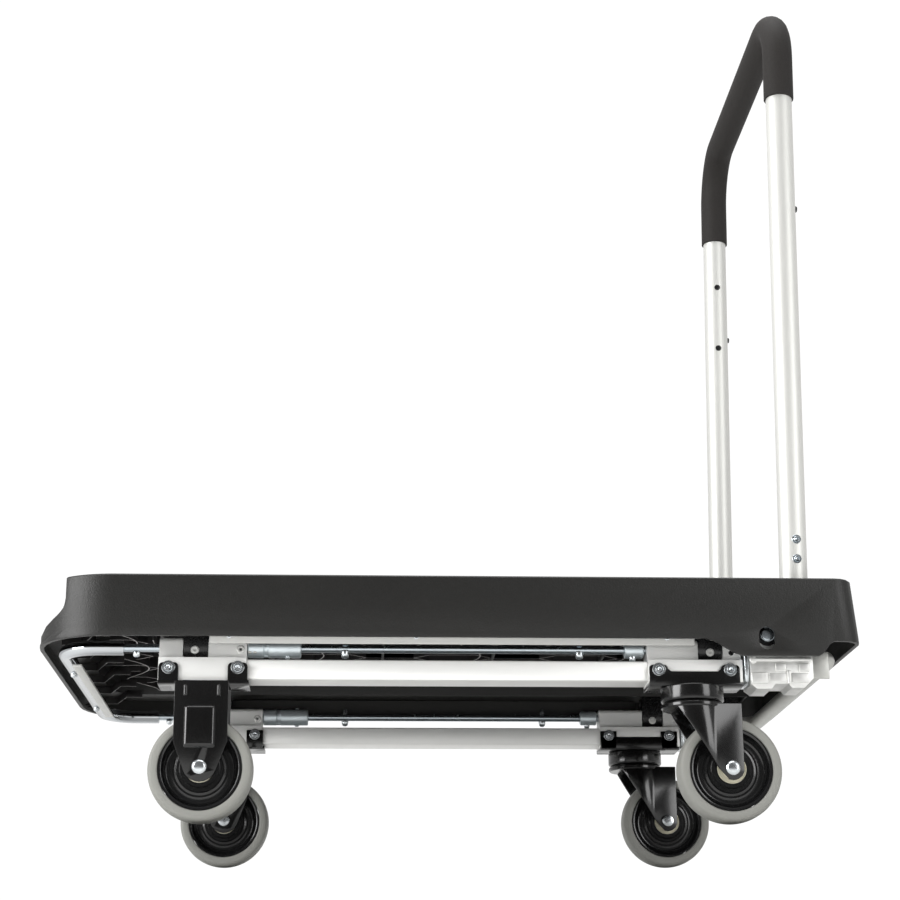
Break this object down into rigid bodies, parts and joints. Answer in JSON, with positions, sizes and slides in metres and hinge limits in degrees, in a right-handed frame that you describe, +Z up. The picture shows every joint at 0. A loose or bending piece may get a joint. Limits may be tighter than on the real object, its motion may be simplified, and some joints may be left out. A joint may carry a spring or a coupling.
{
  "type": "folding platform cart",
  "caption": "Platform cart with a moulded skirted deck, caster beams that fold inwards under it, and a U-shaped push handle that folds flat into a groove in the deck.",
  "frame": {"origin": "on the floor, under the middle of the cart's outer box", "axes": "+X towards the handle end, +Y towards the far side, +Z up; the near side is at -Y"},
  "size_m": [0.8, 0.47, 0.891],
  "materials": {
    "deck_plastic": "fine-grained moulded charcoal-black plastic",
    "aluminium": "satin silver anodised extrusion",
    "cast_aluminium": "rough tumbled casting",
    "zinc": "bright bluish zinc plate",
    "chrome": "polished chrome plate",
    "black_paint": "gloss black coated pressed steel",
    "black_plastic": "satin black plastic",
    "grip_foam": "matte black foam rubber",
    "tyre_rubber": "light warm grey non-marking rubber",
    "bearing_shield": "cream bearing shield"
  },
  "bodies": {
    "deck_frame": {"deck": "deck_plastic", "front_frame_tube": "chrome", "front_flat_bar": "aluminium", "rear_frame_tube": "zinc", "side_rail_near": "aluminium", "side_rail_far": "aluminium", "front_bracket_near": "black_plastic", "front_bracket_far": "black_plastic", "rear_bracket_near": "black_plastic", "rear_bracket_far": "black_plastic", "hinge_rod_near": "zinc", "hinge_rod_far": "zinc", "rod_collar_near": "zinc", "rod_collar_far": "zinc", "end_plate_near": "zinc", "end_plate_far": "zinc", "handle_casting_near": "cast_aluminium", "handle_casting_far": "cast_aluminium", "pivot_pin_near": "zinc", "pivot_pin_far": "zinc"},
    "beam_near": {"lower_rail_near": "aluminium", "front_block_near": "aluminium", "rear_block_near": "aluminium", "rigid_fork_near": "black_paint", "rigid_axle_near": "zinc", "swivel_saddle_near": "black_paint", "swivel_ring_near": "black_paint", "king_pin_near": "zinc"},
    "swivel_near": {"swivel_fork_near": "black_paint", "swivel_axle_near": "zinc"},
    "rigid_wheel_near": {"rigid_tyre_near": "tyre_rubber", "rigid_wheel_near": "black_plastic", "rigid_bearing_near": "bearing_shield"},
    "swivel_wheel_near": {"swivel_tyre_near": "tyre_rubber", "swivel_wheel_near": "black_plastic", "swivel_bearing_near": "bearing_shield"},
    "lock_sleeve_near": {"lock_sleeve_near": "zinc"},
    "beam_far": {"lower_rail_far": "aluminium", "front_block_far": "aluminium", "rear_block_far": "aluminium", "rigid_fork_far": "black_paint", "rigid_axle_far": "zinc", "swivel_saddle_far": "black_paint", "swivel_ring_far": "black_paint", "king_pin_far": "zinc"},
    "swivel_far": {"swivel_fork_far": "black_paint", "swivel_axle_far": "zinc"},
    "rigid_wheel_far": {"rigid_tyre_far": "tyre_rubber", "rigid_wheel_far": "black_plastic", "rigid_bearing_far": "bearing_shield"},
    "swivel_wheel_far": {"swivel_tyre_far": "tyre_rubber", "swivel_wheel_far": "black_plastic", "swivel_bearing_far": "bearing_shield"},
    "lock_sleeve_far": {"lock_sleeve_far": "zinc"},
    "handle": {"handle_tube": "aluminium", "handle_grip": "grip_foam", "handle_foot_near": "black_plastic", "handle_foot_far": "black_plastic"}
  },
  "joints": [
    {"name": "beam_near_fold", "type": "hinge", "parent": "deck_frame", "child": "beam_near", "pos_m": [0, -0.195, 0.1695], "axis": [1, 0, 0], "range_deg": [0, 90]},
    {"name": "swivel_near_turn", "type": "hinge", "parent": "beam_near", "child": "swivel_near", "pos_m": [0.236, -0.2046, 0.1145], "axis": [0, 0, 1], "continuous": true},
    {"name": "rigid_wheel_near_spin", "type": "hinge", "parent": "beam_near", "child": "rigid_wheel_near", "pos_m": [-0.236, -0.2046, 0.05], "axis": [0, 1, 0], "continuous": true},
    {"name": "swivel_wheel_near_spin", "type": "hinge", "parent": "swivel_near", "child": "swivel_wheel_near", "pos_m": [0.2685, -0.2046, 0.05], "axis": [0, 1, 0], "continuous": true},
    {"name": "lock_sleeve_near_slide", "type": "slide", "parent": "deck_frame", "child": "lock_sleeve_near", "axis": [1, 0, 0], "range_m": [0, 0.01], "stiffness_N_per_m": 400, "springref_m": -0.005},
    {"name": "beam_far_fold", "type": "hinge", "parent": "deck_frame", "child": "beam_far", "pos_m": [0, 0.195, 0.1695], "axis": [-1, 0, 0], "range_deg": [0, 90]},
    {"name": "swivel_far_turn", "type": "hinge", "parent": "beam_far", "child": "swivel_far", "pos_m": [0.236, 0.2046, 0.1145], "axis": [0, 0, 1], "continuous": true},
    {"name": "rigid_wheel_far_spin", "type": "hinge", "parent": "beam_far", "child": "rigid_wheel_far", "pos_m": [-0.236, 0.2046, 0.05], "axis": [0, 1, 0], "continuous": true},
    {"name": "swivel_wheel_far_spin", "type": "hinge", "parent": "swivel_far", "child": "swivel_wheel_far", "pos_m": [0.2685, 0.2046, 0.05], "axis": [0, 1, 0], "continuous": true},
    {"name": "lock_sleeve_far_slide", "type": "slide", "parent": "deck_frame", "child": "lock_sleeve_far", "axis": [1, 0, 0], "range_m": [0, 0.01], "stiffness_N_per_m": 400, "springref_m": -0.005},
    {"name": "handle_fold", "type": "hinge", "parent": "deck_frame", "child": "handle", "pos_m": [0.309, 0, 0.18], "axis": [0, -1, 0], "range_deg": [0, 91.4]}
  ]
}
